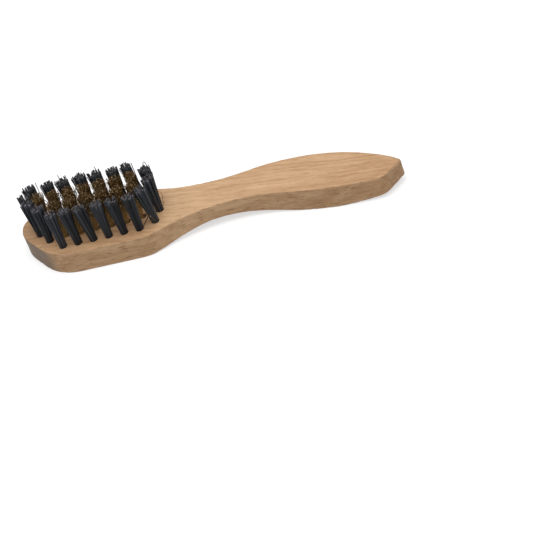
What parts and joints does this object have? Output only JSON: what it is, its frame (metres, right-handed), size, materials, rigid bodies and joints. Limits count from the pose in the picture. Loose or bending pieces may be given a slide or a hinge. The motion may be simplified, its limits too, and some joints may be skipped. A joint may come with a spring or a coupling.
{
  "type": "suede brush",
  "caption": "Small hand brush for suede and nubuck: shaped beech handle with a ring of stiff black nylon tufts round crimped brass wire tufts.",
  "frame": {"origin": "middle of the board's length and of the head's width, on the back face that the brush lies on", "axes": "+X from the nose of the head to the handle tip, +Z out of the bristle face, +Y to the far side of the head, where the nose has its tight corner"},
  "size_m": [0.17, 0.036, 0.0286],
  "materials": {
    "beech": "sanded bare beech, fine long grain with short dark flecks on the sides",
    "nylon_bristle": "black nylon filament with cut tips",
    "brass_bristle": "crimped brass wire, slightly tarnished",
    "staple_wire": "drawn steel wire"
  },
  "bodies": {
    "root": {"handle_board": "beech", "nylon_tuft_01": "nylon_bristle", "nylon_tuft_02": "nylon_bristle", "nylon_tuft_03": "nylon_bristle", "nylon_tuft_04": "nylon_bristle", "nylon_tuft_05": "nylon_bristle", "nylon_tuft_06": "nylon_bristle", "nylon_tuft_07": "nylon_bristle", "nylon_tuft_08": "nylon_bristle", "nylon_tuft_09": "nylon_bristle", "nylon_tuft_10": "nylon_bristle", "nylon_tuft_11": "nylon_bristle", "nylon_tuft_12": "nylon_bristle", "nylon_tuft_13": "nylon_bristle", "nylon_tuft_14": "nylon_bristle", "nylon_tuft_15": "nylon_bristle", "nylon_tuft_16": "nylon_bristle", "nylon_tuft_17": "nylon_bristle", "nylon_tuft_18": "nylon_bristle", "nylon_tuft_19": "nylon_bristle", "brass_tuft_01": "brass_bristle", "brass_tuft_02": "brass_bristle", "brass_tuft_03": "brass_bristle", "brass_tuft_04": "brass_bristle", "brass_tuft_05": "brass_bristle", "brass_tuft_06": "brass_bristle", "brass_tuft_07": "brass_bristle", "brass_tuft_08": "brass_bristle", "brass_tuft_09": "brass_bristle", "brass_tuft_10": "brass_bristle", "brass_tuft_11": "brass_bristle", "brass_tuft_12": "brass_bristle", "brass_tuft_13": "brass_bristle", "nylon_tuft_staples": "staple_wire", "brass_tuft_staples": "staple_wire"}
  },
  "joints": []
}
